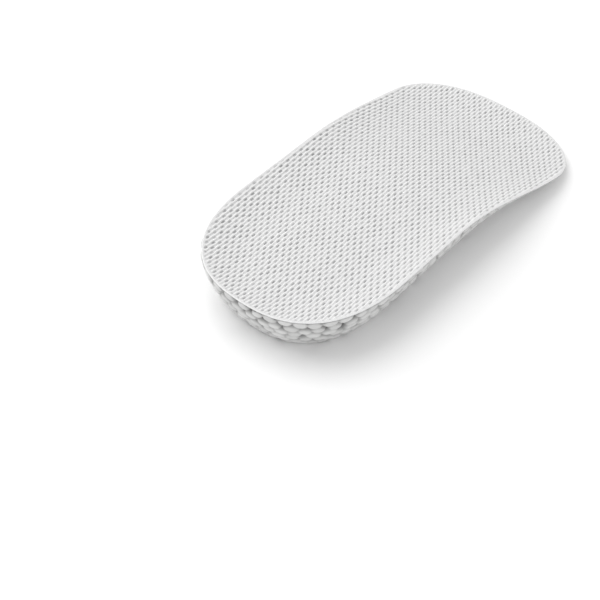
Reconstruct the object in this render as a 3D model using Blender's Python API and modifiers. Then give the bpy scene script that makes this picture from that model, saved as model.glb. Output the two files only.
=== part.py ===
"""A heel lift: a half insole of expanded-bead foam under a knit mesh cover.

The wedge is thick under the heel and the arch and feathers out towards the front. Its wall is
rounded and undercut all round, its top is gently dished, and its sole is flat. The cover is one
layer of knit fabric bonded over the dished top and trimmed flush with the foam.

Units are metres. +Y points from the heel to the front, +Z points up, and the origin is at the
middle of the footprint, on the surface that the lift rests on. The lift is symmetric about X = 0.
"""

import math

import bmesh
import bpy
from mathutils import Vector

# Plan of the rim
LENGTH = 0.130
HEEL_WIDTH = 0.0566
FRONT_WIDTH = 0.0613
HEEL_ROUND = 0.0365  # length of the rounded heel end
FRONT_ROUND = 0.0215  # length of the rounded front end
HEEL_SQUARENESS = 2.45  # exponent of each end's rounding: 2 is an ellipse, more is squarer
FRONT_SQUARENESS = 2.45
FLARE_START = -0.0060  # where the sides start to widen, from the middle
FLARE_END = 0.0455

# Heights of the rim, and the fall between them
HEEL_HEIGHT = 0.0150
FRONT_HEIGHT = 0.0023
RAMP_START = -0.0030  # where the rim starts to fall, from the middle

# The dish of the top, below the rim
HEEL_DISH = 0.0024
FRONT_DISH = 0.0009
DISH_REACH = 0.0150  # from the rim to the flat of the dish

# The wall, which tucks under: its run in for each metre of its height
HEEL_TUCK = 0.47
FRONT_TUCK = 2.2
WALL_ROUNDNESS = 1.25  # exponent of the wall's section: 1 is a bevel, 2 is an ellipse

# The cover, and the layer of glue under it
COVER_THICKNESS = 0.0010
GLUE_GAP = 0.0003

# How finely the curves are divided
HEEL_STEPS = 16
SIDE_STEPS = 12
FRONT_STEPS = 14
DISH_STEPS = 6
FLAT_STEPS = 3
WALL_STEPS = 8
SOLE_STEPS = 2

HEEL_END = -LENGTH / 2
FRONT_END = LENGTH / 2
SHARP_ANGLE = math.radians(50)
MERGE = 1e-6


def smoothstep(share):
    """Rises from 0 to 1 with level ends."""
    share = min(max(share, 0.0), 1.0)
    return share * share * (3 - 2 * share)


def side_half_width(y):
    """Half the width between the straight sides, which flare from the heel to the front."""
    flare = smoothstep((y - FLARE_START) / (FLARE_END - FLARE_START))
    return (HEEL_WIDTH + (FRONT_WIDTH - HEEL_WIDTH) * flare) / 2


def ramp(y):
    """0 along the heel and the arch, then rising to 1 at the front end."""
    return smoothstep((y - RAMP_START) / (FRONT_END - RAMP_START))


def rim_height(y):
    return HEEL_HEIGHT + (FRONT_HEIGHT - HEEL_HEIGHT) * ramp(y)


def dish_depth(y):
    return HEEL_DISH + (FRONT_DISH - HEEL_DISH) * ramp(y)


def floor_normal(y):
    """The upward normal of the dish's floor on the centre line."""
    step = LENGTH / 1000
    rise = rim_height(y + step) - dish_depth(y + step) - rim_height(y - step) + dish_depth(y - step)
    return Vector((0.0, -rise, 2 * step)).normalized()


def undercut(y, height):
    """How far the sole stays inside the rim where the foam is this high."""
    return (HEEL_TUCK + (FRONT_TUCK - HEEL_TUCK) * ramp(y)) * height


def end_point(angle, squareness):
    """Shares (across, along) of a rounded end, at an angle from its tip to the side."""
    power = 2 / squareness
    return math.sin(angle) ** power, math.cos(angle) ** power


def half_outline():
    """Plan points of the rim on the +X side, from the heel's tip to the front's tip."""
    heel_side = HEEL_END + HEEL_ROUND
    front_side = FRONT_END - FRONT_ROUND
    points = []
    for step in range(HEEL_STEPS):
        across, along = end_point(step / HEEL_STEPS * math.pi / 2, HEEL_SQUARENESS)
        y = heel_side - HEEL_ROUND * along
        points.append(Vector((side_half_width(heel_side) * across, y)))
    for step in range(SIDE_STEPS):
        y = heel_side + (front_side - heel_side) * step / SIDE_STEPS
        points.append(Vector((side_half_width(y), y)))
    for step in range(FRONT_STEPS, -1, -1):
        across, along = end_point(step / FRONT_STEPS * math.pi / 2, FRONT_SQUARENESS)
        y = front_side + FRONT_ROUND * along
        points.append(Vector((side_half_width(front_side) * across, y)))
    points[0].x = points[-1].x = 0.0
    return points


def inward_normals(outline):
    """For each rim point, the unit vector in plan that points straight in from the rim."""
    normals = []
    last = len(outline) - 1
    for index, point in enumerate(outline):
        ahead = outline[index + 1] if index < last else Vector((-outline[-2].x, outline[-2].y))
        behind = outline[index - 1] if index > 0 else Vector((-outline[1].x, outline[1].y))
        along = ahead - behind
        normals.append(Vector((-along.y, along.x)).normalized())
    return normals


def spine_point(point):
    """The point of the centre line that the ribs of the top and the sole run to."""
    lowest = HEEL_END + HEEL_WIDTH / 2
    highest = FRONT_END - FRONT_WIDTH / 2
    return Vector((0.0, min(max(point.y, lowest), highest)))


def top_rings():
    """Rings of points on the cover's top, from the rim to the centre line."""
    rings = []
    outline = half_outline()
    for ring in range(DISH_STEPS + FLAT_STEPS + 1):
        points = []
        for rim in outline:
            rib = spine_point(rim) - rim
            reach = min(DISH_REACH, rib.length)
            if ring <= DISH_STEPS:
                inset = reach * ring / DISH_STEPS
            else:
                inset = reach + (rib.length - reach) * (ring - DISH_STEPS) / FLAT_STEPS
            plan = rim + rib.normalized() * inset
            sunk = 1 - (1 - min(inset / DISH_REACH, 1.0)) ** 2
            points.append(Vector((plan.x, plan.y, rim_height(plan.y) - dish_depth(plan.y) * sunk)))
        rings.append(points)
    return rings


def loft(rings):
    """A mesh of faces between neighbouring rings, with the points that coincide joined."""
    mesh = bmesh.new()
    rows = [[mesh.verts.new(point) for point in ring] for ring in rings]
    for upper, lower in zip(rows, rows[1:]):
        for a, b, c, d in zip(upper, upper[1:], lower[1:], lower):
            mesh.faces.new((a, b, c, d))
    bmesh.ops.remove_doubles(mesh, verts=mesh.verts, dist=MERGE)
    return mesh


def lowered(rings, depth):
    """The same rings, moved straight into the surface that they lie on by this depth."""
    last = len(rings) - 1
    moved = []
    for index, ring in enumerate(rings):
        outer, inner = rings[max(index - 1, 0)], rings[min(index + 1, last)]
        points = []
        for place, point in enumerate(ring):
            behind, ahead = max(place - 1, 0), min(place + 1, len(ring) - 1)
            inwards = inner[place] - outer[place]
            along = ring[ahead] - ring[behind]
            normal = along.cross(inwards)
            if place in (0, len(ring) - 1):
                normal.x = 0.0
            if index == last:
                normal = floor_normal(point.y)
            points.append(point - normal.normalized() * depth)
        moved.append(points)
    return moved


def wall_rings(rim):
    """Rings down the rounded, undercut wall, from below the rim to the edge of the sole."""
    power = 2 / WALL_ROUNDNESS
    inward = inward_normals([Vector((point.x, point.y)) for point in rim])
    rings = []
    for step in range(1, WALL_STEPS + 1):
        angle = step / WALL_STEPS * math.pi / 2
        drop = math.sin(angle) ** power if step < WALL_STEPS else 1.0
        tuck = 1 - math.cos(angle) ** power if step < WALL_STEPS else 1.0
        points = []
        for point, normal in zip(rim, inward):
            inset = undercut(point.y, point.z) * tuck
            plan = Vector((point.x, point.y)) + normal * inset
            points.append(Vector((plan.x, plan.y, point.z * (1 - drop))))
        rings.append(points)
    return rings


def sole_rings(edge):
    """Rings across the flat sole, from its edge to the centre line."""
    rings = []
    for step in range(1, SOLE_STEPS + 1):
        points = []
        for point in edge:
            plan = Vector((point.x, point.y))
            plan = plan.lerp(spine_point(plan), step / SOLE_STEPS)
            points.append(Vector((plan.x, plan.y, 0.0)))
        rings.append(points)
    return rings


def material(name, colour, roughness):
    made = bpy.data.materials.new(name)
    made.use_nodes = True
    shader = made.node_tree.nodes["Principled BSDF"]
    shader.inputs["Base Color"].default_value = (*colour, 1.0)
    shader.inputs["Roughness"].default_value = roughness
    shader.inputs["Metallic"].default_value = 0.0
    return made


def mirrored_object(name, mesh, finish, collection):
    """An object from a half that is open at X = 0, with a Mirror for its other half."""
    data = bpy.data.meshes.new(name)
    mesh.to_mesh(data)
    mesh.free()
    data.shade_smooth()
    data.set_sharp_from_angle(angle=SHARP_ANGLE)
    data.materials.append(finish)
    made = bpy.data.objects.new(name, data)
    collection.objects.link(made)
    mirror = made.modifiers.new("both_sides", "MIRROR")
    mirror.use_axis = (True, False, False)
    mirror.merge_threshold = MERGE
    return made


def knit_cover(collection):
    """One layer of knit over the dished top, thickened downwards from its outer face."""
    finish = material("grey_white_knit", (0.76, 0.76, 0.75), 0.9)
    cover = mirrored_object("knit_cover", loft(top_rings()), finish, collection)
    layer = cover.modifiers.new("fabric_thickness", "SOLIDIFY")
    layer.thickness = COVER_THICKNESS
    layer.offset = -1.0
    layer.use_even_offset = True
    return cover


def foam_wedge(collection):
    """The wedge under the cover: its dished top, its undercut wall and its flat sole."""
    finish = material("white_bead_foam", (0.80, 0.80, 0.79), 0.55)
    top = lowered(top_rings(), COVER_THICKNESS + GLUE_GAP)
    wall = wall_rings(top[0])
    sole = sole_rings(wall[-1])
    skin = loft(sole[::-1] + wall[::-1] + top)
    return mirrored_object("foam_wedge", skin, finish, collection)


def main():
    for old in list(bpy.data.objects):
        bpy.data.objects.remove(old)
    collection = bpy.data.collections.new("heel_lift")
    bpy.context.scene.collection.children.link(collection)
    foam_wedge(collection)
    knit_cover(collection)


main()
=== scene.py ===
# %% [markdown]
# # A heel lift: a wedge of bead foam under a knit mesh cover
#
# A heel lift goes into a shoe, under the heel. This one is a half insole. Its wedge is moulded from
# small beads of foam that melt together at their skins, so its wall looks like packed pebbles. A
# thin knit is glued over its dished top and trimmed flush with the wall.
#
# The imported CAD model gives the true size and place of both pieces. Each piece is made again here
# from the same measurements, with its knit or its beads as real relief, and stands in for its node.

# %% Load the frame
import math

import bmesh
import bpy
import numpy as np
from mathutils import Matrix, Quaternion, Vector
from mathutils.geometry import delaunay_2d_cdt
from mathutils.kdtree import KDTree


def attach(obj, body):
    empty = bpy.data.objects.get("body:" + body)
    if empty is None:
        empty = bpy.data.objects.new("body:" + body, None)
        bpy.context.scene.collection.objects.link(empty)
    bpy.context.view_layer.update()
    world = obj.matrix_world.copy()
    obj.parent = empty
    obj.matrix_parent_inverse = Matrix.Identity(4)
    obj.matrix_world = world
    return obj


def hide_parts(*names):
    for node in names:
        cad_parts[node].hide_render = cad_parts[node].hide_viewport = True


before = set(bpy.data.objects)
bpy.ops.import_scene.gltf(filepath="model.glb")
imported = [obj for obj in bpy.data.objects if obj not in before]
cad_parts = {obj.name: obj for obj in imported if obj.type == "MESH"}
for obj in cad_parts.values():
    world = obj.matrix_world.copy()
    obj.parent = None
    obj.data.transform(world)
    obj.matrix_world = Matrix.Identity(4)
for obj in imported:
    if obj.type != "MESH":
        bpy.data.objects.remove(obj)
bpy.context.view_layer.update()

MM = 0.001
print("nodes in the frame:", sorted(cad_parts))

# %% [markdown]
# ## The camera
#
# The lift is seen from above its heel, a little to its right. The camera's place was found by
# fitting the rim of the lift to its outline in the photograph. A long lens keeps the far end from
# shrinking much. The camera is rolled by a few degrees, because the photograph is.

# %% Make the camera
CAMERA_PLACE = Vector((0.17396, -0.27336, 0.29925))
CAMERA_AIM = Vector((0.00719, -0.04809, 0.0070))
CAMERA_ROLL = math.radians(4.118)
LENS_MM = 90
SENSOR_MM = 36
NEAREST = 10 * MM

scene = bpy.context.scene
camera_data = bpy.data.cameras.new("camera")
camera_data.lens = LENS_MM
camera_data.sensor_width = SENSOR_MM
camera_data.clip_start = NEAREST
camera = bpy.data.objects.new("camera", camera_data)
scene.collection.objects.link(camera)
camera.location = CAMERA_PLACE
level_turn = (CAMERA_AIM - CAMERA_PLACE).to_track_quat("-Z", "Y")
camera.rotation_mode = "QUATERNION"
camera.rotation_quaternion = level_turn @ Quaternion((0, 0, 1), CAMERA_ROLL)
scene.camera = camera
print("camera to aim:", round((CAMERA_AIM - CAMERA_PLACE).length, 3), "m")

# %% [markdown]
# ## The plan of the lift
#
# Seen from above, the lift is a slightly flared tongue with two rounded ends. Each end is a
# superellipse, which is an ellipse pushed out at its corners. The same formulas give the outline of
# the cover, the wall and the sole, so that the pieces fit each other. These numbers, in metres, are
# the ones that the CAD model was made from.

# %% Measurements of the plan
LENGTH = 0.130
HEEL_WIDTH = 0.0566
FRONT_WIDTH = 0.0613
HEEL_ROUND = 0.0365
FRONT_ROUND = 0.0215
SQUARENESS = 2.45
FLARE_START = -0.0060
FLARE_END = 0.0455
HEEL_END = -LENGTH / 2
FRONT_END = LENGTH / 2
HEEL_SIDE = HEEL_END + HEEL_ROUND
FRONT_SIDE = FRONT_END - FRONT_ROUND
SPINE_HEEL = HEEL_END + HEEL_WIDTH / 2
SPINE_FRONT = FRONT_END - FRONT_WIDTH / 2
END_POINTS = 600
SIDE_POINTS = 400
FINE_COUNT = 4000


def smoothstep(share):
    """Rises from 0 to 1 with level ends."""
    share = np.clip(share, 0.0, 1.0)
    return share * share * (3 - 2 * share)


def half_width(y):
    """Half the width of the rim at this place along the length, with the rounded ends."""
    side = np.clip(y, HEEL_SIDE, FRONT_SIDE)
    flare = smoothstep((side - FLARE_START) / (FLARE_END - FLARE_START))
    widest = (HEEL_WIDTH + (FRONT_WIDTH - HEEL_WIDTH) * flare) / 2
    into_heel = np.clip((HEEL_SIDE - y) / HEEL_ROUND, 0, 1)
    into_front = np.clip((y - FRONT_SIDE) / FRONT_ROUND, 0, 1)
    into_end = np.maximum(into_heel, into_front)
    return widest * (1 - into_end**SQUARENESS) ** (1 / SQUARENESS)


# %% The rim as a loop of points
def rim_loop(count):
    """Evenly spaced plan points of the rim, counter-clockwise from the tip of the heel."""
    turn = np.linspace(0, math.pi / 2, END_POINTS)
    end_share = np.cos(turn) ** (2 / SQUARENESS)
    heel_y = HEEL_SIDE - HEEL_ROUND * end_share
    side_y = np.linspace(HEEL_SIDE, FRONT_SIDE, SIDE_POINTS)[1:-1]
    front_y = (FRONT_SIDE + FRONT_ROUND * end_share)[::-1]
    y = np.concatenate([heel_y, side_y, front_y])
    right = np.stack([half_width(y), y], axis=1)
    left = right[::-1][1:] * (-1, 1)
    loop = np.concatenate([right, left])
    walked = np.concatenate([[0], np.cumsum(np.linalg.norm(np.diff(loop, axis=0), axis=1))])
    stops = np.linspace(0, walked[-1], count, endpoint=False)
    return np.stack([np.interp(stops, walked, loop[:, axis]) for axis in (0, 1)], axis=1)


def loop_inwards(loop):
    """For each point of a loop, the unit vector in plan that points straight in."""
    along = np.roll(loop, -1, axis=0) - np.roll(loop, 1, axis=0)
    inwards = np.stack([-along[:, 1], along[:, 0]], axis=1)
    return inwards / np.linalg.norm(inwards, axis=1, keepdims=True)


fine_rim = rim_loop(FINE_COUNT)
rim_walk = np.linalg.norm(np.roll(fine_rim, -1, axis=0) - fine_rim, axis=1).sum()
print("round the rim:", round(rim_walk / MM, 1), "mm")

# %% [markdown]
# ## The heights
#
# The rim is level along the heel and the arch, then falls to a feather edge at the front. The top
# is dished below the rim, as a hand pressed into it would leave it. How far a point lies inside the
# rim decides how deep it is in the dish. Along the sides that distance is measured straight across,
# and round the ends it is measured along a ray from the end of the centre line.

# %% Measurements and formulas of the top
HEEL_HEIGHT = 0.0150
FRONT_HEIGHT = 0.0023
RAMP_START = -0.0030
HEEL_DISH = 0.0024
FRONT_DISH = 0.0009
DISH_REACH = 0.0150
COVER_THICKNESS = 1.0 * MM
EDGE_THICKNESS = 0.56 * MM
PRESSED_REACH = 3.0 * MM
PAST_CENTRE = 2 * MM
SLOPE_STEP = 0.2 * MM
HEEL_MIDDLE = -30 * MM


def ramp(y):
    """0 along the heel and the arch, then rising to 1 at the front end."""
    return smoothstep((y - RAMP_START) / (FRONT_END - RAMP_START))


def rim_height(y):
    return HEEL_HEIGHT + (FRONT_HEIGHT - HEEL_HEIGHT) * ramp(y)


def end_reach(x, away, centre, side):
    """How far the rim is from the end of the centre line, in the direction of each point."""
    rim_away = (fine_rim[:, 1] - centre) * side
    seen = (rim_away > -PAST_CENTRE) & (fine_rim[:, 0] >= 0)
    angles = np.arctan2(fine_rim[seen, 0], rim_away[seen])
    order = np.argsort(angles)
    reach = np.hypot(fine_rim[seen, 0], rim_away[seen])
    return np.interp(np.arctan2(np.abs(x), away), angles[order], reach[order])


def inset_of(x, y):
    """How far a plan point lies inside the rim."""
    heel_away = SPINE_HEEL - y
    front_away = y - SPINE_FRONT
    heel_inset = end_reach(x, heel_away, SPINE_HEEL, -1) - np.hypot(x, heel_away)
    front_inset = end_reach(x, front_away, SPINE_FRONT, 1) - np.hypot(x, front_away)
    side_inset = half_width(y) - np.abs(x)
    return np.where(heel_away > 0, heel_inset, np.where(front_away > 0, front_inset, side_inset))


# %% The top, the underside and the normals of the cover
def top_height(x, y):
    """The height of the cover's outer face, without its knit."""
    depth = HEEL_DISH + (FRONT_DISH - HEEL_DISH) * ramp(y)
    sunk = 1 - (1 - np.clip(inset_of(x, y) / DISH_REACH, 0, 1)) ** 2
    return rim_height(y) - depth * sunk


def under_depth(inset):
    """How far the cover's underside lies below its top, thinner where the edge is pressed."""
    return EDGE_THICKNESS + (COVER_THICKNESS - EDGE_THICKNESS) * smoothstep(inset / PRESSED_REACH)


def top_normal(x, y):
    """The upward unit normals of the cover's outer face."""
    step = SLOPE_STEP
    slope_x = (top_height(x + step, y) - top_height(x - step, y)) / (2 * step)
    slope_y = (top_height(x, y + step) - top_height(x, y - step)) / (2 * step)
    normal = np.stack([-slope_x, -slope_y, np.ones_like(slope_x)], axis=-1)
    return normal / np.linalg.norm(normal, axis=-1, keepdims=True)


print("dish at the heel:", round(float(top_height(0.0, HEEL_MIDDLE)) / MM, 2), "mm high")

# %% [markdown]
# ## The knit of the cover
#
# The cover is a warp knit mesh: ribs of loops run along the lift, and the yarns that cross between
# two ribs leave a slot open at every sixth loop. The slots of neighbouring ribs are staggered, so
# the ribs lean left and right in turn. A bump map can't give the dark slots that show from every
# side, so the ribs and slots are built as relief. The grid has its lines where the knit has its
# edges: five columns to a rib, and eight rows to a slot. That keeps the slots crisp with few faces.

# %% Measurements of the knit
RIB_PITCH = 1.10 * MM
SLOT_PITCH = 3.15 * MM
RIB_COLUMNS = np.array([0.0, 0.19, 0.34, 0.76, 0.91]) * MM
SLOT_ROWS = np.array([-0.70, -0.46, 0.46, 0.70]) * MM
KNIT_TURN = math.radians(1.5)
KNIT_SKEW = -0.07
RIB_LEAN = 0.085 * MM
SLOT_DEPTH = 0.48 * MM
SLOT_VARIES = 0.24
BRIDGE_DEPTH = 0.24 * MM
SHOULDER_DEPTH = 0.05 * MM
LOOP_SWELL = 0.04 * MM
BAND = 0.50 * MM
BAND_FADE = 0.65 * MM
TRIM_WOBBLE = 0.06 * MM
# The cut rim out to this reach gets a painted highlight, and the band beyond it a painted shade.
RIM_HIGHLIGHT_REACH = 0.15 * MM
BAND_SHADE = 0.35
RIM_COUNT = 1000
RIBS_EACH_WAY = 32
HALF_COURSES_EACH_WAY = 46
SEED = 7


def knit_axes():
    """Column and row places of the knit's grid."""
    ribs = np.arange(-RIBS_EACH_WAY, RIBS_EACH_WAY + 1)
    columns = (ribs[:, None] * RIB_PITCH + RIB_COLUMNS[None, :]).ravel()
    half_courses = np.arange(-HALF_COURSES_EACH_WAY, HALF_COURSES_EACH_WAY + 1)
    rows = (half_courses[:, None] * SLOT_PITCH / 2 + SLOT_ROWS[None, :]).ravel()
    return columns, rows


def to_knit(x, y):
    """Plan places as places in the knit, which lies at a small angle to the lift."""
    c, s = math.cos(KNIT_TURN), math.sin(KNIT_TURN)
    across = c * x + s * y
    return across, c * y - s * x - KNIT_SKEW * across


def from_knit(across, along):
    c, s = math.cos(KNIT_TURN), math.sin(KNIT_TURN)
    skewed = along + KNIT_SKEW * across
    return c * across - s * skewed, c * skewed + s * across


random = np.random.default_rng(SEED)
knit_columns, knit_rows = knit_axes()
print("knit grid:", len(knit_columns), "columns by", len(knit_rows), "rows")

# %% [markdown]
# ## The relief of one knit cell
#
# A column of the grid is a crest, a shoulder or a groove's floor, and a row lies in a slot or
# between two. Crests swell a little beside each slot. A groove's floor is deep where its slot is,
# and shallow where the yarns bridge it. The relief dies out at the pressed band round the edge.

# %% Relief and lean of the knit
SHOULDER_COLUMNS = (1, 4)
FLOOR_COLUMNS = (2, 3)
SLOT_MIDDLE_ROWS = (1, 2)
# Painted shade: how much a groove's floor, where the yarns bridge it, and a shoulder are darkened.
BRIDGE_SHADE = 0.42
SHOULDER_SHADE = 0.08


def knit_relief():
    """Depth below the crests, and the mask of painted shade, from the kind of each column and row."""
    groove, column_kind = np.divmod(np.arange(len(knit_columns)), len(RIB_COLUMNS))
    course, row_kind = np.divmod(np.arange(len(knit_rows)), len(SLOT_ROWS))
    own_course = (groove[:, None] + course[None, :]) % 2 == 0
    floor = np.isin(column_kind, FLOOR_COLUMNS)[:, None]
    shoulder = np.isin(column_kind, SHOULDER_COLUMNS)[:, None]
    slot_row = np.isin(row_kind, SLOT_MIDDLE_ROWS)[None, :]
    slot = floor & own_course & slot_row
    swell = np.where(slot_row, LOOP_SWELL, -LOOP_SWELL)
    relief = np.where(floor, -BRIDGE_DEPTH, np.where(shoulder, -SHOULDER_DEPTH, 0.0))
    pulled = 1 + SLOT_VARIES * random.uniform(-1, 1, (groove.max() + 1, course.max() + 1))
    pulled = pulled[groove][:, course]
    relief = np.where(slot, -SLOT_DEPTH * pulled, relief + swell * ~floor)
    # Slots: partly glue and foam seen through, partly painted shade. Grooves and shoulders: painted
    # shade.
    groove_shade = np.where(floor, BRIDGE_SHADE, np.where(shoulder, SHOULDER_SHADE, 0.0))
    return relief, np.where(slot, pulled, groove_shade)


def rib_lean(across, along):
    """How far each place is moved sideways, away from the slot beside it."""
    rib = np.cos(math.pi * across / RIB_PITCH)
    course = np.cos(2 * math.pi * along / SLOT_PITCH)
    return -RIB_LEAN * rib * course


relief_grid, hollow_shade_grid = knit_relief()
print("deepest slot:", round(-relief_grid.min() / MM, 2), "mm")

# %% [markdown]
# ## The edge of the cover
#
# The edge of the cover was pressed hot and then trimmed, so a band of about half a millimetre has no
# slots. It is denser, a little lower and marked by faint slanting ribs. Its rim turns down over the
# cut. The band is a set of rings that follow the rim. Each ring has its inset from the rim, and its
# drop below the top. A few slow waves make the trimmed edge wander a little, as scissors do.

# %% Rings of the band and of the cut edge
EDGE_RINGS = np.array([
    (0.50, 0.05),
    (0.38, 0.08),
    (0.28, 0.10),
    (0.18, 0.12),
    (0.09, 0.16),
    (0.02, 0.24),
    (0.00, 0.36),
    (0.05, 0.48),
    (0.22, 0.56),
]) * MM
BAND_RIBS = 360
BAND_RIB_HEIGHT = 0.025 * MM
BAND_RIB_SLANT = 2.2
TURNED_DOWN = 0.3 * MM
NORMAL_INSET = 0.4 * MM
TRIM_WAVES = (23, 41, 67, 97, 131, 173)


def spine_of(loop):
    """The point of the centre line that the rib of each rim point runs to."""
    return np.stack([np.zeros(len(loop)), np.clip(loop[:, 1], SPINE_HEEL, SPINE_FRONT)], axis=1)


def ribs_of(loop):
    """Unit vectors in plan from each rim point towards the centre line."""
    rib = spine_of(loop) - loop
    return rib / np.linalg.norm(rib, axis=1, keepdims=True)


# %% Wander and rings of the trimmed edge
def trim_wobble():
    """How far the hand-trimmed edge strays inwards at each rim point, from a few slow waves."""
    turn = np.linspace(0, 2 * math.pi, RIM_COUNT, endpoint=False)
    waves = np.zeros(RIM_COUNT)
    for turns in TRIM_WAVES:
        waves += np.sin(turns * turn + random.uniform(0, 2 * math.pi))
    return TRIM_WOBBLE * (1 + waves / np.abs(waves).max())


def edge_ring(rim, inset, drop):
    """Points of one ring of the band, in plan at an inset and lowered along the surface's normal."""
    rib = ribs_of(rim)
    strayed = edge_stray * (1 - inset / BAND)
    plan = rim + rib * (inset + strayed)[:, None]
    x, y = plan[:, 0], plan[:, 1]
    turn = np.arange(len(rim)) / len(rim) * BAND_RIBS * 2 * math.pi
    slanted = BAND_RIB_HEIGHT * np.sin(turn + inset / BAND * BAND_RIB_SLANT) * (drop < TURNED_DOWN)
    points = np.stack([x, y, top_height(x, y)], axis=1)
    inner_x, inner_y = (plan + rib * NORMAL_INSET).T
    return points + top_normal(inner_x, inner_y) * (slanted - drop)[:, None]


edge_stray = trim_wobble()
print("the trimmed edge strays by up to", round(edge_stray.max() / MM, 2), "mm")

# %% [markdown]
# ## Joining the grid to the rings
#
# The grid ends in stairs where it meets the band. A constrained Delaunay triangulation fills the
# strip between those stairs and the first ring, and keeps every edge of both. It is done in plan,
# before the ribs lean, so that the stairs are straight. The underside is filled the same way, with
# a few rings near its edge, so that it stays below the slots, and a wide net in the middle.

# %% Fill between outlines
STAIR_GAP = 0.08 * MM
BAND_SINK = 0.04 * MM
FILL_TOLERANCE = 1e-5


def fill_plan(points, edges):
    """Triangles between constraint edges, as indices of the points. Works in millimetres."""
    vectors = [Vector((x / MM, y / MM)) for x, y in points]
    filled = delaunay_2d_cdt(vectors, edges, [], 1, FILL_TOLERANCE)
    first = [origin[0] if origin else -1 for origin in filled[3]]
    triangles = np.array([[first[corner] for corner in face] for face in filled[2]])
    if triangles.min() < 0:
        raise RuntimeError("the fill made a point of its own")
    return triangles


def ring_edges(start, count):
    return [(start + place, start + (place + 1) % count) for place in range(count)]


def ring_quads(upper, lower, count):
    """Faces between two rings of the same count, given where each starts in the point list."""
    here = np.arange(count)
    after = (here + 1) % count
    return np.stack([upper + here, lower + here, lower + after, upper + after], axis=1)


# %% Find the grid's kept cells and its stairs
def kept_cells(inside):
    """Grid cells with all four corners inside."""
    return inside[:-1, :-1] & inside[1:, :-1] & inside[:-1, 1:] & inside[1:, 1:]


def stair_edges(cells, index):
    """Edges of the grid between a kept cell and one that isn't."""
    padded = np.pad(cells, 1)
    edges = []
    across = padded[1:-1, 1:] != padded[1:-1, :-1]
    for column, row in zip(*np.nonzero(across)):
        edges.append((index[column, row], index[column + 1, row]))
    along = padded[1:, 1:-1] != padded[:-1, 1:-1]
    for column, row in zip(*np.nonzero(along)):
        edges.append((index[column, row], index[column, row + 1]))
    return edges


# %% The grid with its relief
def knit_grid():
    """Plan places, relief and painted shade of the grid inside the band, with its faces and stairs."""
    across, along = np.meshgrid(knit_columns, knit_rows, indexing="ij")
    x, y = from_knit(across, along)
    inset = np.where(np.abs(y) < FRONT_END, inset_of(x, np.clip(y, HEEL_END, FRONT_END)), -1.0)
    cells = kept_cells(inset > BAND + STAIR_GAP)
    used = np.zeros(inset.shape, bool)
    for shift_x in (0, 1):
        for shift_y in (0, 1):
            used[shift_x : shift_x + cells.shape[0], shift_y : shift_y + cells.shape[1]] |= cells
    index = np.full(inset.shape, -1)
    index[used] = np.arange(used.sum())
    corners = [index[:-1, :-1], index[1:, :-1], index[1:, 1:], index[:-1, 1:]]
    quads = np.stack([corner[cells] for corner in corners], axis=1)
    fade = smoothstep((inset - BAND) / BAND_FADE)
    lean = rib_lean(across, along) * fade
    plan = np.stack([x[used], y[used]], axis=1)
    return {
        "plan": plan,
        "lean": lean[used],
        "relief": (relief_grid * fade - BAND_SINK * (1 - fade))[used],
        "hollow_shade_mask": (hollow_shade_grid * fade + BAND_SHADE * (1 - fade))[used],
        "quads": quads,
        "stairs": stair_edges(cells, index),
        "cells": cells,
    }


# %% The strip between the grid and the band
def in_kept_cell(points, cells):
    """Whether each plan point lies in a kept cell of the grid."""
    across, along = to_knit(points[:, 0], points[:, 1])
    column = np.clip(np.searchsorted(knit_columns, across) - 1, 0, cells.shape[0] - 1)
    row = np.clip(np.searchsorted(knit_rows, along) - 1, 0, cells.shape[1] - 1)
    return cells[column, row]


def strip_faces(grid, ring_plan, ring_start):
    """Triangles between the stairs and the band's first ring."""
    stair_points = sorted({point for edge in grid["stairs"] for point in edge})
    place = {point: number for number, point in enumerate(stair_points)}
    plan = np.concatenate([grid["plan"][stair_points], ring_plan])
    edges = [(place[a], place[b]) for a, b in grid["stairs"]]
    edges += ring_edges(len(stair_points), len(ring_plan))
    triangles = fill_plan(plan, edges)
    middles = plan[triangles].mean(axis=1)
    triangles = triangles[~in_kept_cell(middles, grid["cells"])]
    owner = np.concatenate([stair_points, ring_start + np.arange(len(ring_plan))])
    return owner[triangles]


# %% The underside
UNDERSIDE_NET = 4 * MM
NET_EACH_WAY = (7, 15)
NET_CLEAR = 0.3 * UNDERSIDE_NET
UNDERSIDE_RINGS = (1.0 * MM, 1.9 * MM, 3.2 * MM)
UNDERSIDE_COUNT = 250


def underside(ring_plan, ring_start, free_start):
    """Coarse triangles under the cover, and the free points that they use."""
    steps_x, steps_y = [np.arange(-reach, reach + 1) * UNDERSIDE_NET for reach in NET_EACH_WAY]
    x, y = [axis.ravel() for axis in np.meshgrid(steps_x, steps_y)]
    deep = inset_of(x, y) > UNDERSIDE_RINGS[-1] + NET_CLEAR
    free = [np.stack([x[deep], y[deep]], axis=1)]
    rim = rim_loop(UNDERSIDE_COUNT)
    free = np.concatenate(free + [rim + ribs_of(rim) * inset for inset in UNDERSIDE_RINGS])
    triangles = fill_plan(np.concatenate([ring_plan, free]), ring_edges(0, len(ring_plan)))
    ring_owner = ring_start + np.arange(len(ring_plan))
    owner = np.concatenate([ring_owner, free_start + np.arange(len(free))])
    return free, owner[triangles][:, ::-1]


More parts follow.
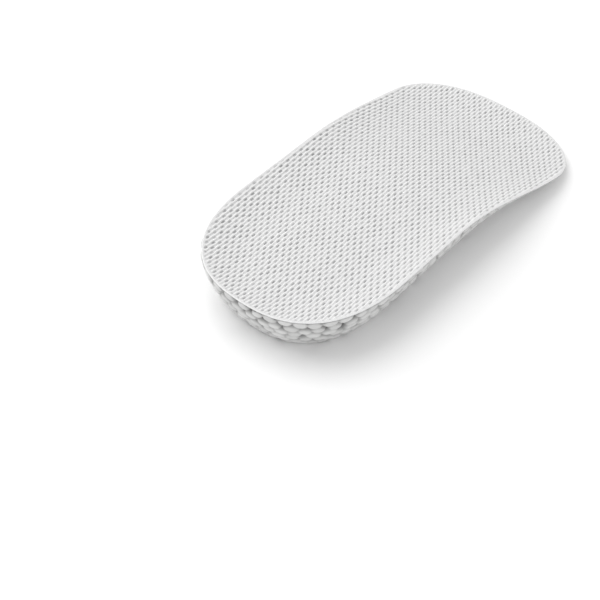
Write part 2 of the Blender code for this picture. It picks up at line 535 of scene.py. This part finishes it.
# %% Put the cover's mesh together
def knit_cover_mesh():
    """Points and faces of the cover, with its painted shade and painted rim highlight at each point.
    """
    grid = knit_grid()
    plan = grid["plan"]
    lean_x, lean_y = from_knit(grid["lean"], np.zeros(len(plan)))
    x, y = plan[:, 0] + lean_x, plan[:, 1] + lean_y
    top = np.stack([x, y, top_height(x, y)], axis=1)
    points = [top + top_normal(x, y) * grid["relief"][:, None]]
    rim = rim_loop(RIM_COUNT)
    points += [edge_ring(rim, inset, np.full(RIM_COUNT, drop)) for inset, drop in EDGE_RINGS]
    starts = len(plan) + np.arange(len(EDGE_RINGS)) * RIM_COUNT
    faces = [grid["quads"], strip_faces(grid, points[1][:, :2], starts[0])]
    faces += [ring_quads(upper, lower, RIM_COUNT) for upper, lower in zip(starts, starts[1:])]
    free_start = starts[-1] + RIM_COUNT
    free, under_faces = underside(points[-1][:, :2], starts[-1], free_start)
    under = np.stack([free[:, 0], free[:, 1], top_height(free[:, 0], free[:, 1])], axis=1)
    thickness = under_depth(inset_of(free[:, 0], free[:, 1]))
    points.append(under - top_normal(free[:, 0], free[:, 1]) * thickness[:, None])
    faces.append(under_faces)
    points = np.concatenate(points)
    hollow_shade_mask = np.zeros(len(points))
    hollow_shade_mask[: len(plan)] = grid["hollow_shade_mask"]
    rim_highlight = np.zeros(len(points))
    for start, (inset, _) in zip(starts, EDGE_RINGS):
        # The cut rim gets a painted highlight, and the rest of the band a painted shade.
        rim_highlight[start : start + RIM_COUNT] = inset < RIM_HIGHLIGHT_REACH
        hollow_shade_mask[start : start + RIM_COUNT] = BAND_SHADE * (inset > RIM_HIGHLIGHT_REACH)
    return points, faces, hollow_shade_mask, rim_highlight


# %% [markdown]
# ## From arrays to an object
#
# NumPy works out all the points at once, and Blender's mesh takes them as lists. A check that each
# edge has exactly two faces shows at once if a strip was left open. Painted shade, painted rim
# highlight and the place in the knit are kept as attributes on the points, for the materials to read.

# %% Make an object of points and faces
CUBIC_CM = 1e-6


def object_of(name, points, faces, marks):
    """A smooth-shaded object of these points and faces, with named numbers on its points."""
    mesh = bpy.data.meshes.new(name)
    mesh.from_pydata(points.tolist(), [], [face for group in faces for face in group.tolist()])
    for mark, values in marks.items():
        kept = mesh.attributes.new(mark, "FLOAT", "POINT")
        kept.data.foreach_set("value", np.asarray(values, np.float32))
    mesh.shade_smooth()
    mesh.update()
    made = bpy.data.objects.new(name, mesh)
    scene.collection.objects.link(made)
    return made


def report_mesh(piece):
    """Prints how many triangles a piece has, and how many of its edges don't have two faces."""
    shape = bmesh.new()
    shape.from_mesh(piece.data)
    open_edges = sum(1 for edge in shape.edges if len(edge.link_faces) != 2)
    triangles = sum(len(face.verts) - 2 for face in shape.faces)
    volume = shape.calc_volume(signed=True) / CUBIC_CM
    shape.free()
    print(f"{piece.name}: {triangles} triangles, {open_edges} open edges, {volume:.1f} cm3")


# %% Make the cover
knit_points, knit_faces, knit_hollow_shade, knit_rim_highlight = knit_cover_mesh()
knit_across, knit_along = to_knit(knit_points[:, 0], knit_points[:, 1])
knit_marks = {
    "hollow_shade_mask": knit_hollow_shade,
    "rim_highlight": knit_rim_highlight,
    "rib_place": knit_across / RIB_PITCH,
    "course_place": knit_along / SLOT_PITCH,
}
cover = object_of("knit_mesh_cover", knit_points, knit_faces, knit_marks)
report_mesh(cover)

# %% [markdown]
# ## The wedge of bead foam
#
# The wedge is moulded of foam beads of 3 to 5 mm that were blown up until they filled the mould.
# Where it touched the mould, each bead is a flattened pebble, with creases between it and the next.
# The wall tucks under from the rim to the sole, and the sole is flat. The mesh follows the rim in
# rings under the cover and down the wall. Rings would crowd together in the middle of the sole, so
# the sole is filled with an even net of points instead.

# %% Measurements of the wedge
HEEL_TUCK = 0.47
FRONT_TUCK = 2.2
WALL_ROUNDNESS = 1.25
WALL_RINGS = 40
TOP_SHARES = (1.0, 0.7, 0.5, 0.35, 0.22, 0.12, 0.04)
SOLE_NET = 0.45 * MM
GLUE_LINE = 0.04 * MM
TOP_SLACK = 0.12 * MM
UNDER_RIM = EDGE_THICKNESS + GLUE_LINE


def cover_underside(x, y):
    """The height of the cover's underside, which the beads press against."""
    return top_height(x, y) - under_depth(inset_of(x, y))


def wall_tuck(drop):
    """How far in the wall has run, as a share, where it has dropped by this share."""
    return 1 - (1 - drop**WALL_ROUNDNESS) ** (1 / WALL_ROUNDNESS)


def tuck_of(y):
    """How far in the wall runs for each metre of its height."""
    return HEEL_TUCK + (FRONT_TUCK - HEEL_TUCK) * ramp(y)


def wall_points(rim, inwards, drop):
    """Points of the wall under each rim point, at a share of the way down."""
    height = rim_height(rim[:, 1]) - UNDER_RIM
    reach = tuck_of(rim[:, 1]) * height
    plan = rim + inwards * (reach * wall_tuck(drop))[:, None]
    return np.concatenate([plan, (height * (1 - drop))[:, None]], axis=1)


# %% Rings of the wedge
def wedge_rings(rim):
    """Rings of the wedge, from the middle of its top over the rim and down to the edge of its sole."""
    rings = []
    to_spine = spine_of(rim) - rim
    for share in TOP_SHARES:
        plan = rim + to_spine * share
        height = cover_underside(plan[:, 0], plan[:, 1]) - GLUE_LINE - TOP_SLACK
        rings.append(np.concatenate([plan, height[:, None]], axis=1))
    inwards = loop_inwards(rim)
    for drop in np.linspace(0, 1, WALL_RINGS):
        rings.append(wall_points(rim, inwards, np.full(len(rim), drop)))
    return rings


# %% [markdown]
# ## Where the beads lie
#
# Beads settle in rough courses. Each course of the wall starts as a line of middles, half a bead
# out of step with the course above, and the sole starts with the same in staggered rows. Every
# middle is nudged at random, and then moved a few times to the middle of the skin that is nearest
# to it, as beads that push each other apart would be. The top course then moves up a little, because
# those beads bulge against the cover. Turns and sizes are random too, so nothing repeats.

# %% Measurements of the beads
BEAD_LONG = 4.2 * MM
BEAD_TALL = 3.0 * MM
BEAD_NUDGE = 1.4 * MM
BEAD_TURN = 0.4
FIRST_COURSE = 1.25 * MM
WALL_COURSES = 7
PUSHES = 3
RIM_LIFT = 0.7 * MM
SAMPLES = 12000
LOWEST_SHARE = 0.98
SOLE_ROWS = 22
SOLE_COLUMNS = 9
NO_LAP = 1.0
BEAD_SIZES = (0.92, 1.12)
SOLE_SPREAD = 1.2
PRESS_STARTS = 0.46


def slant_of(rim):
    """How long the wall is from the rim down to the sole, under each rim point."""
    height = rim_height(rim[:, 1]) - UNDER_RIM
    return height * np.hypot(1, tuck_of(rim[:, 1]))


# %% Nudge beads and push them apart
def nudged(places):
    return places + random.uniform(-1, 1, places.shape) * BEAD_NUDGE


def pushed_apart(places, samples, lap):
    """Places moved to the middle of the samples nearest to them, where the skin repeats each lap."""
    scale = np.array([1 / BEAD_LONG, 1 / BEAD_TALL])
    count = len(places)
    tree = KDTree(3 * count)
    for turn in (-1, 0, 1):
        for number, place in enumerate((places + (turn * lap, 0)) * scale):
            tree.insert((*place, 0), number + (turn + 1) * count)
    tree.balance()
    found = np.array([tree.find((*sample, 0))[1] for sample in samples * scale])
    owner = found % count
    unlapped = samples[:, 0] - (found // count - 1) * lap
    owned = np.bincount(owner, minlength=count)
    sums = np.stack([np.bincount(owner, axis, count) for axis in (unlapped, samples[:, 1])], axis=1)
    return np.where(owned[:, None] > 0, sums / np.maximum(owned, 1)[:, None], places)


# %% Beads on the wall
def wall_beads(rim):
    """Middles and long axes of the beads on the wall, from places round it and down it."""
    slant = slant_of(rim)
    count = int(rim_walk / BEAD_LONG)
    course = np.repeat(np.arange(WALL_COURSES), count)
    walk = (np.tile(np.arange(count), WALL_COURSES) + 0.5 * (course % 2)) / count * rim_walk
    places = nudged(np.stack([walk, FIRST_COURSE + course * BEAD_TALL], axis=1))
    samples = random.uniform((0, 0), (rim_walk, slant.max()), (SAMPLES, 2))

    def column(walk):
        return (walk / rim_walk * len(rim)).astype(int) % len(rim)

    places = places[places[:, 1] < slant[column(places[:, 0])]]
    samples = samples[samples[:, 1] < slant[column(samples[:, 0])]]
    for _ in range(PUSHES):
        places = pushed_apart(places, samples, rim_walk)
    places[:, 1] -= RIM_LIFT * np.clip(1 - places[:, 1] / (2 * BEAD_TALL), 0, 1)
    under = column(places[:, 0])
    share = np.clip(places[:, 1] / slant[under], 0, LOWEST_SHARE)
    inwards = loop_inwards(rim)[under]
    along = np.stack([inwards[:, 1], -inwards[:, 0], 0 * share], axis=1)
    along += random.uniform(-BEAD_TURN, BEAD_TURN, along.shape)
    return wall_points(rim[under], inwards, share), along


# %% Beads on the sole
def edge_profile(loop):
    """Places along the length and half widths there, of the right side of a loop."""
    right = loop[loop[:, 0] >= 0]
    order = np.argsort(right[:, 1])
    lengths = np.concatenate([[HEEL_END], right[order, 1], [FRONT_END]])
    widths = np.concatenate([[0], right[order, 0], [0]])
    return lengths, widths


def on_sole(plan, sole_edge, margin):
    """The plan points that lie on the sole, this far inside its edge or more."""
    lengths, widths = edge_profile(sole_edge)
    inside = np.abs(plan[:, 0]) < np.interp(plan[:, 1], lengths, widths) - margin
    return plan[inside]


def staggered(rows, columns, wide, tall):
    """Plan points in this many rows and columns each way, with every other row half a step out."""
    row = np.arange(-rows, rows + 1)[:, None]
    column = np.arange(-columns, columns + 1)[None, :]
    x = (column + 0.5 * (row % 2)) * wide
    y = row * tall + 0 * x
    return np.stack([x.ravel(), y.ravel()], axis=1)


def sole_beads(sole_edge):
    """Middles and long axes of the beads on the sole."""
    places = staggered(SOLE_ROWS, SOLE_COLUMNS, BEAD_LONG, BEAD_TALL)
    places = on_sole(nudged(places), sole_edge, 0.0)
    corners = (-FRONT_WIDTH / 2, HEEL_END), (FRONT_WIDTH / 2, FRONT_END)
    samples = on_sole(random.uniform(*corners, (SAMPLES, 2)), sole_edge, 0.0)
    for _ in range(PUSHES):
        places = pushed_apart(places, samples, NO_LAP)
    turns = random.uniform(-2 * BEAD_TURN, 2 * BEAD_TURN, len(places))
    middles = np.concatenate([places, np.zeros((len(places), 1))], axis=1)
    return middles, np.stack([np.cos(turns), np.sin(turns), 0 * turns], axis=1)


# %% Place and size the beads
rim = rim_loop(RIM_COUNT)
ring_points = wedge_rings(rim)
sole_edge = ring_points[-1][:, :2]
wall_set, sole_set = wall_beads(fine_rim), sole_beads(sole_edge)
bead_middles = np.concatenate([wall_set[0], sole_set[0]])
bead_axes = np.concatenate([wall_set[1], sole_set[1]])
bead_axes /= np.linalg.norm(bead_axes, axis=1, keepdims=True)
bead_sizes = random.uniform(*BEAD_SIZES, len(bead_middles))
bead_tuck = tuck_of(wall_set[0][:, 1])
facing_down = np.concatenate([bead_tuck / np.hypot(1, bead_tuck), np.ones(len(sole_set[0]))])
bead_sizes *= 1 + (SOLE_SPREAD - 1) * smoothstep((facing_down - PRESS_STARTS) / PRESS_STARTS)
print("beads on the skin:", len(bead_middles))

# %% [markdown]
# ## Beads as relief
#
# Each bead is a flat-topped dome over an oval of its own size and direction, and the skin is the
# highest dome at each point. Two domes meet in a crease. Where three beads meet, none of them
# reaches, and that leaves the small pits that this foam has. Creases and pits are painted dark as
# well, as painted shade. The mould pressed the domes of the sole flat. The beads swell a little past
# the smooth wall, most of all round the heel. Nothing rises past the cover's underside, because foam
# would then show through the slots of the knit.

# %% Measure the domes
DOME_LONG = 2.60 * MM
DOME_TALL = 1.86 * MM
DOME_POWER = 0.8
WALL_DOME = 1.80 * MM
SOLE_DOME = 0.45 * MM
HEEL_SWELL = 0.40 * MM
SIDE_SWELL = 0.04 * MM
SWELL_ENDS = (-0.045, -0.015)
SWELL_HEIGHT = 5 * MM
PRESSED_FROM = 0.72
FACING_SCALE = 2
FACING_START = 0.9
DOME_SHARE = 0.35
THIN_EDGE = 0.4 * MM
CREASE_SHADE_FROM = 0.92
CREASE_SHADE_POWER = 0.75
NEIGHBOURS = 6


def highest_dome(points):
    """Height share of the highest dome at each point, from 1 on a bead to 0 in a pit, and its bead."""
    tree = KDTree(len(bead_middles))
    for number, middle in enumerate(bead_middles):
        tree.insert(middle, number)
    tree.balance()
    near = np.array([[found[1] for found in tree.find_n(point, NEIGHBOURS)] for point in points])
    offset = points[:, None, :] - bead_middles[near]
    lengthwise = (offset * bead_axes[near]).sum(axis=2)
    sidewise = (offset**2).sum(axis=2) - lengthwise**2
    spread = ((lengthwise / DOME_LONG) ** 2 + sidewise / DOME_TALL**2) / bead_sizes[near] ** 2
    heights = np.clip(1 - spread**2, 0, 1) ** DOME_POWER
    best = heights.argmax(axis=1)
    rows = np.arange(len(points))
    return heights[rows, best], near[rows, best]


def skin_normals(points, faces):
    """Outward normals of the smooth skin, from Blender's own mesh."""
    smooth = bpy.data.meshes.new("smooth_skin")
    smooth.from_pydata(points.tolist(), [], [face for group in faces for face in group.tolist()])
    smooth.update()
    normals = np.empty(len(points) * 3, np.float32)
    smooth.vertex_normals.foreach_get("vector", normals)
    bpy.data.meshes.remove(smooth)
    return normals.reshape(-1, 3).astype(float)


# %% The smooth wedge
NET_INSIDE_EDGE = 0.8 * SOLE_NET


def sole_net():
    """An even net of plan points on the sole, in staggered rows clear of its edge."""
    rows = round(FRONT_END / SOLE_NET)
    columns = round(FRONT_WIDTH / SOLE_NET / 2)
    return on_sole(staggered(rows, columns, SOLE_NET, SOLE_NET), sole_edge, NET_INSIDE_EDGE)


def smooth_wedge():
    """Points and faces of the wedge before it has beads."""
    starts = np.arange(len(ring_points)) * RIM_COUNT
    faces = [ring_quads(upper, lower, RIM_COUNT) for upper, lower in zip(starts, starts[1:])]
    net = sole_net()
    triangles = fill_plan(np.concatenate([sole_edge, net]), ring_edges(0, RIM_COUNT))
    faces.append(triangles[:, ::-1] + starts[-1])
    flat_net = np.concatenate([net, np.zeros((len(net), 1))], axis=1)
    return np.concatenate(ring_points + [flat_net]), faces


# %% Raise the beads
def bead_wedge_mesh():
    """Points and faces of the wedge, with painted shade in creases and the bead's number at each
    point.
    """
    points, faces = smooth_wedge()
    normals = skin_normals(points, faces)
    skin = np.arange(len(points)) >= len(TOP_SHARES) * RIM_COUNT
    share = np.ones(len(points))
    owners = np.zeros(len(points), int)
    share[skin], owners[skin] = highest_dome(points[skin])
    height = rim_height(points[:, 1]) - UNDER_RIM
    under_sole = smoothstep(-normals[:, 2] * FACING_SCALE - FACING_START)
    pressed = np.minimum(share / PRESSED_FROM, 1)
    share = share + (pressed - share) * under_sole
    dome = WALL_DOME + (SOLE_DOME - WALL_DOME) * under_sole
    dome = np.minimum(dome, DOME_SHARE * np.maximum(height, THIN_EDGE))
    past_heel = smoothstep((points[:, 1] - SWELL_ENDS[0]) / (SWELL_ENDS[1] - SWELL_ENDS[0]))
    swell = HEEL_SWELL + (SIDE_SWELL - HEEL_SWELL) * past_heel
    swell *= (1 - under_sole) * smoothstep(height / SWELL_HEIGHT)
    moved = points + normals * (skin * (swell - dome * (1 - share)))[:, None]
    under_cover = cover_underside(moved[:, 0], moved[:, 1]) - GLUE_LINE
    moved[:, 2] = np.clip(moved[:, 2], 0.0, np.maximum(under_cover, 0.0))
    # Painted shade: darker the deeper a point lies in a crease or pit between beads.
    crease_shade = np.clip((CREASE_SHADE_FROM - share) / CREASE_SHADE_FROM, 0, 1) ** CREASE_SHADE_POWER
    return moved, faces, crease_shade * skin, owners


# %% Make the wedge
SAME_POINT = 1e-7
NO_LENGTH = 1e-8

wedge_points, wedge_faces, wedge_crease_shade, wedge_owner = bead_wedge_mesh()
bead_shade = random.uniform(0, 1, len(bead_middles))
# Painted shade of creases and pits, and a random tone for each bead.
wedge_marks = {"hollow_shade_mask": wedge_crease_shade, "bead_shade": bead_shade[wedge_owner]}
wedge = object_of("bead_foam_wedge", wedge_points, wedge_faces, wedge_marks)
shape = bmesh.new()
shape.from_mesh(wedge.data)
bmesh.ops.remove_doubles(shape, verts=shape.verts, dist=SAME_POINT)
bmesh.ops.dissolve_degenerate(shape, dist=NO_LENGTH, edges=shape.edges)
shape.to_mesh(wedge.data)
shape.free()
report_mesh(wedge)

# %% [markdown]
# ## Finishes
#
# Both pieces are nearly white, so their finish is in what light does in their hollows, and some of
# that shade is painted into their colour. Three effects are used by both materials, so each is a node
# group: a painted shade for hollows, a soft mottle of colour, and a fine grain. The grain stands for
# fuzz on the yarn and for the skin of the foam.

# %% Small helpers for nodes
def group_of(name, inputs, outputs):
    """An empty shader node group with named number or colour sockets."""
    group = bpy.data.node_groups.new(name, "ShaderNodeTree")
    for label, kind, value in inputs:
        socket = group.interface.new_socket(label, in_out="INPUT", socket_type=kind)
        socket.default_value = value
    for label, kind in outputs:
        group.interface.new_socket(label, in_out="OUTPUT", socket_type=kind)
    entry = group.nodes.new("NodeGroupInput")
    leave = group.nodes.new("NodeGroupOutput")
    return group, entry, leave


def maths(tree, operation, *values):
    """A Math node. Each value is a number or a socket to link."""
    node = tree.nodes.new("ShaderNodeMath")
    node.operation = operation
    for place, value in enumerate(values):
        if isinstance(value, (int, float)):
            node.inputs[place].default_value = value
        else:
            tree.links.new(value, node.inputs[place])
    return node.outputs[0]


def mixed(tree, factor, first, second):
    """A colour mix. The colours are sockets or tuples."""
    node = tree.nodes.new("ShaderNodeMix")
    node.data_type = "RGBA"
    tree.links.new(factor, node.inputs["Factor"])
    for label, value in (("A", first), ("B", second)):
        socket = next(s for s in node.inputs if s.name == label and s.type == "RGBA")
        if isinstance(value, tuple):
            socket.default_value = value
        else:
            tree.links.new(value, socket)
    return next(s for s in node.outputs if s.type == "RGBA")


def noise(tree, scale, detail, roughness=0.5):
    """A noise texture in the object's own space, in features per metre."""
    place = tree.nodes.new("ShaderNodeTexCoord")
    node = tree.nodes.new("ShaderNodeTexNoise")
    if isinstance(scale, (int, float)):
        node.inputs["Scale"].default_value = scale
    else:
        tree.links.new(scale, node.inputs["Scale"])
    node.inputs["Detail"].default_value = detail
    node.inputs["Roughness"].default_value = roughness
    tree.links.new(place.outputs["Object"], node.inputs["Vector"])
    return node.outputs["Fac"]


NUMBER = "NodeSocketFloat"
COLOUR = "NodeSocketColor"

# %% Hollow shade, soft mottle and fine grain
MOTTLE_DETAIL = 3.0
GRAIN_DETAIL = 2.0
GRAIN_ROUGHNESS = 0.7


# Painted shade: darkens a colour towards a hollow colour by a mask and a strength.
def make_hollow_shade():
    inputs = [
        ("Colour", COLOUR, (0.8, 0.8, 0.8, 1)),
        ("Hollow colour", COLOUR, (0.3, 0.3, 0.3, 1)),
        ("Hollow", NUMBER, 0.0),
        ("Strength", NUMBER, 1.0),
    ]
    group, entry, leave = group_of("hollow_shade", inputs, [("Colour", COLOUR)])
    amount = maths(group, "MULTIPLY", entry.outputs["Hollow"], entry.outputs["Strength"])
    held = maths(group, "MINIMUM", amount, 1.0)
    colour = mixed(group, held, entry.outputs["Colour"], entry.outputs["Hollow colour"])
    group.links.new(colour, leave.inputs["Colour"])
    return group


def make_soft_mottle():
    inputs = [
        ("Colour", COLOUR, (0.8, 0.8, 0.8, 1)),
        ("Scale", NUMBER, 200.0),
        ("Amount", NUMBER, 0.05),
    ]
    group, entry, leave = group_of("soft_mottle", inputs, [("Colour", COLOUR), ("Mask", NUMBER)])
    mask = noise(group, entry.outputs["Scale"], MOTTLE_DETAIL)
    shift = maths(group, "MULTIPLY", maths(group, "SUBTRACT", mask, 0.5), entry.outputs["Amount"])
    bright = group.nodes.new("ShaderNodeHueSaturation")
    group.links.new(maths(group, "ADD", shift, 1.0), bright.inputs["Value"])
    group.links.new(entry.outputs["Colour"], bright.inputs["Color"])
    group.links.new(bright.outputs["Color"], leave.inputs["Colour"])
    group.links.new(mask, leave.inputs["Mask"])
    return group


def make_fine_grain():
    inputs = [("Scale", NUMBER, 6000.0), ("Height", NUMBER, 1.0)]
    group, entry, leave = group_of("fine_grain", inputs, [("Height", NUMBER)])
    fuzz = noise(group, entry.outputs["Scale"], GRAIN_DETAIL, GRAIN_ROUGHNESS)
    group.links.new(maths(group, "MULTIPLY", fuzz, entry.outputs["Height"]), leave.inputs["Height"])
    return group


hollow_shade = make_hollow_shade()
soft_mottle = make_soft_mottle()
fine_grain = make_fine_grain()
print("shared effects:", [group.name for group in (hollow_shade, soft_mottle, fine_grain)])

# %% [markdown]
# ## Knit and foam
#
# The knit is matt polyester yarn with a faint sheen. Its slots are greyer than the ribs, partly from
# the glue and the foam that show through a few threads and partly as painted shade, which also
# darkens its grooves and its pressed band. Single yarns are too fine to model, so a bump made from the
# place in the knit gives each rib its slanting loops, and the colour is painted lighter on their tops
# and darker between them, as painted highlight and shade. The cut rim gets a painted highlight. The
# foam has a smooth, slightly glossy skin, and every bead took the heat a little differently, so each
# has its own tone. Its white is painted darker overall, and darker still in its creases and pits, as
# painted shade.

# %% Start a material
def new_material(name):
    finish = bpy.data.materials.new(name)
    finish.use_nodes = True
    return finish, finish.node_tree, finish.node_tree.nodes["Principled BSDF"]


def mark_of(tree, name):
    """The number that the mesh's points carry under this name."""
    node = tree.nodes.new("ShaderNodeAttribute")
    node.attribute_name = name
    return node.outputs["Fac"]


def placed(tree, group, **values):
    """A group in a material, with its numbers set and its sockets linked."""
    node = tree.nodes.new("ShaderNodeGroup")
    node.node_tree = group
    for label, value in values.items():
        socket = node.inputs[label.replace("_", " ")]
        if isinstance(value, (int, float, tuple)):
            socket.default_value = value
        else:
            tree.links.new(value, socket)
    return node


def bumped(tree, shader, height, distance, strength):
    bump = tree.nodes.new("ShaderNodeBump")
    bump.inputs["Distance"].default_value = distance
    bump.inputs["Strength"].default_value = strength
    tree.links.new(height, bump.inputs["Height"])
    tree.links.new(bump.outputs["Normal"], shader.inputs["Normal"])


def toned(tree, colour, value):
    """A colour made brighter or darker by a number that is 1 for no change."""
    node = tree.nodes.new("ShaderNodeHueSaturation")
    tree.links.new(value, node.inputs["Value"])
    tree.links.new(colour, node.inputs["Color"])
    return node.outputs["Color"]


# %% The knit's material
KNIT_WHITE = (0.80, 0.80, 0.797, 1)
# Painted highlight colour along the cut rim.
RIM_HIGHLIGHT_WHITE = (0.84, 0.84, 0.84, 1)
# Partly the glue and foam seen through the slots, partly painted shade in slots, grooves and band.
SLOT_GLUE_AND_SHADE_GREY = (0.47, 0.47, 0.475, 1)
LOOPS_PER_COURSE = 6.0
LOOP_SLANT = 1.6
# Painted highlight and shade: the colour is lighter on the tops of the yarn loops, darker between.
LOOP_LIGHT_AND_SHADE = 0.13
LOOP_HEIGHT = 0.5
KNIT_MOTTLE = {"Scale": 350.0, "Amount": 0.06}
YARN_FLECK = {"Scale": 1500.0, "Amount": 0.28}
YARN_FUZZ = {"Scale": 9000.0, "Height": 0.7}
YARN_BUMP = 0.06 * MM
YARN_BUMP_STRENGTH = 0.9
SLOT_STRENGTH = 0.9


def yarn_height(tree):
    """Heights of the slanting yarn loop along each rib, for the bump and for painted light and shade.
    """
    rib = mark_of(tree, "rib_place")
    course = mark_of(tree, "course_place")
    off_crest = maths(tree, "ABSOLUTE", maths(tree, "SUBTRACT", rib, maths(tree, "ROUND", rib)))
    slanted = maths(tree, "MULTIPLY", off_crest, LOOP_SLANT)
    turns = maths(tree, "ADD", maths(tree, "MULTIPLY", course, LOOPS_PER_COURSE), slanted)
    return maths(tree, "SINE", maths(tree, "MULTIPLY", turns, 2 * math.pi))


def knit_material():
    finish, tree, shader = new_material("white_knit_mesh")
    mottle = placed(tree, soft_mottle, Colour=KNIT_WHITE, **KNIT_MOTTLE)
    hollow_shade_mask = mark_of(tree, "hollow_shade_mask")
    yarn = yarn_height(tree)
    fleck = placed(tree, soft_mottle, Colour=mottle.outputs["Colour"], **YARN_FLECK)
    # Painted highlight and shade on the yarn loops, in step with their bump.
    loop_light_and_shade = maths(tree, "ADD", maths(tree, "MULTIPLY", yarn, LOOP_LIGHT_AND_SHADE), 1.0)
    loop_lit_colour = toned(tree, fleck.outputs["Colour"], loop_light_and_shade)
    # Painted highlight: the cut rim is made lighter.
    edged = mixed(tree, mark_of(tree, "rim_highlight"), loop_lit_colour, RIM_HIGHLIGHT_WHITE)
    # Painted shade in the slots, grooves and band, with the glue and foam seen through the slots.
    greyed = {"Hollow_colour": SLOT_GLUE_AND_SHADE_GREY, "Hollow": hollow_shade_mask, "Strength": SLOT_STRENGTH}
    shade = placed(tree, hollow_shade, Colour=edged, **greyed)
    tree.links.new(shade.outputs["Colour"], shader.inputs["Base Color"])
    grain = placed(tree, fine_grain, **YARN_FUZZ)
    loop_height = maths(tree, "MULTIPLY", yarn, LOOP_HEIGHT)
    height = maths(tree, "ADD", grain.outputs["Height"], loop_height)
    bumped(tree, shader, height, YARN_BUMP, YARN_BUMP_STRENGTH)
    shader.inputs["Roughness"].default_value = 0.9
    shader.inputs["Sheen Weight"].default_value = 0.15
    shader.inputs["Sheen Roughness"].default_value = 0.5
    shader.inputs["Specular IOR Level"].default_value = 0.25
    return finish


# %% The foam's material
# The foam's white, painted darker overall as painted shade.
SHADED_FOAM_WHITE = (0.68, 0.68, 0.675, 1)
# Painted shade colour for the creases and pits between beads.
CREASE_SHADE_GREY = (0.07, 0.07, 0.07, 1)
DARKEST_BEAD = 0.88
BEAD_TONES = 0.16
FOAM_MOTTLE = {"Scale": 500.0, "Amount": 0.08}
FOAM_GRAIN = {"Scale": 2600.0, "Height": 1.0}
FOAM_BUMP = 0.08 * MM
FOAM_BUMP_STRENGTH = 0.5
SMOOTHEST_FOAM = 0.38
FOAM_ROUGHENS = 0.25


def foam_material():
    finish, tree, shader = new_material("white_bead_foam")
    mottle = placed(tree, soft_mottle, Colour=SHADED_FOAM_WHITE, **FOAM_MOTTLE)
    own = maths(tree, "MULTIPLY", mark_of(tree, "bead_shade"), BEAD_TONES)
    own_tone = toned(tree, mottle.outputs["Colour"], maths(tree, "ADD", own, DARKEST_BEAD))
    # Painted shade in the creases and pits between beads.
    greyed = {"Hollow_colour": CREASE_SHADE_GREY, "Hollow": mark_of(tree, "hollow_shade_mask"), "Strength": 1.0}
    shade = placed(tree, hollow_shade, Colour=own_tone, **greyed)
    tree.links.new(shade.outputs["Colour"], shader.inputs["Base Color"])
    grain = placed(tree, fine_grain, **FOAM_GRAIN)
    bumped(tree, shader, grain.outputs["Height"], FOAM_BUMP, FOAM_BUMP_STRENGTH)
    rougher = maths(tree, "MULTIPLY", mottle.outputs["Mask"], FOAM_ROUGHENS)
    tree.links.new(maths(tree, "ADD", rougher, SMOOTHEST_FOAM), shader.inputs["Roughness"])
    shader.inputs["Specular IOR Level"].default_value = 0.4
    return finish


# %% Give each piece its finish
cover.data.materials.append(knit_material())
wedge.data.materials.append(foam_material())
print("materials:", cover.data.materials[0].name, "and", wedge.data.materials[0].name)

# %% [markdown]
# ## Floor and light
#
# The photograph is a studio shot on pure white, with one soft shadow to the lower right. A wide
# white floor under an even white sky stays white. One large soft light, high up on the left, gives
# the ribs their relief and throws the shadow.

# %% Make the floor
FLOOR_SIZE = 12.0
FLOOR_WHITE = (0.93, 0.93, 0.93, 1)


def floor_material():
    finish, tree, shader = new_material("white_studio_floor")
    shader.inputs["Base Color"].default_value = FLOOR_WHITE
    shader.inputs["Roughness"].default_value = 0.9
    shader.inputs["Specular IOR Level"].default_value = 0.0
    return finish


def make_floor():
    sheet_mesh = bmesh.new()
    bmesh.ops.create_grid(sheet_mesh, x_segments=1, y_segments=1, size=FLOOR_SIZE / 2)
    mesh = bpy.data.meshes.new("studio_floor")
    sheet_mesh.to_mesh(mesh)
    sheet_mesh.free()
    mesh.materials.append(floor_material())
    made = bpy.data.objects.new("studio_floor", mesh)
    scene.collection.objects.link(made)
    return made


floor = make_floor()

# %% Make the sky and the soft light
SKY_STRENGTH = 0.80
KEY_PLACE = Vector((-0.52, -0.07, 0.78))
KEY_SIZE = 1.1
KEY_POWER = 6.0

world = bpy.data.worlds.new("studio_sky")
world.use_nodes = True
sky = world.node_tree.nodes["Background"]
sky.inputs["Color"].default_value = (1, 1, 1, 1)
sky.inputs["Strength"].default_value = SKY_STRENGTH
scene.world = world

key_data = bpy.data.lights.new("key_light", "AREA")
key_data.shape = "DISK"
key_data.size = KEY_SIZE
key_data.energy = KEY_POWER
key = bpy.data.objects.new("key_light", key_data)
scene.collection.objects.link(key)
key.location = KEY_PLACE
key.rotation_euler = (-KEY_PLACE).to_track_quat("-Z", "Y").to_euler()
scene.view_settings.view_transform = "Standard"
print("light:", KEY_POWER, "W over a disk of", KEY_SIZE, "m")

# %% [markdown]
# ## Putting the pieces on the body
#
# Each piece rides on the lift's one body and stands for its CAD node, which is hidden. The cover is
# one sheet of cloth that lies glued on the wedge, and the wedge is a firm foam pad.

for piece, node, slot in ((cover, "knit_cover", "knit_mesh"), (wedge, "foam_wedge", "bead_foam")):
    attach(piece, "root")
    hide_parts(node)
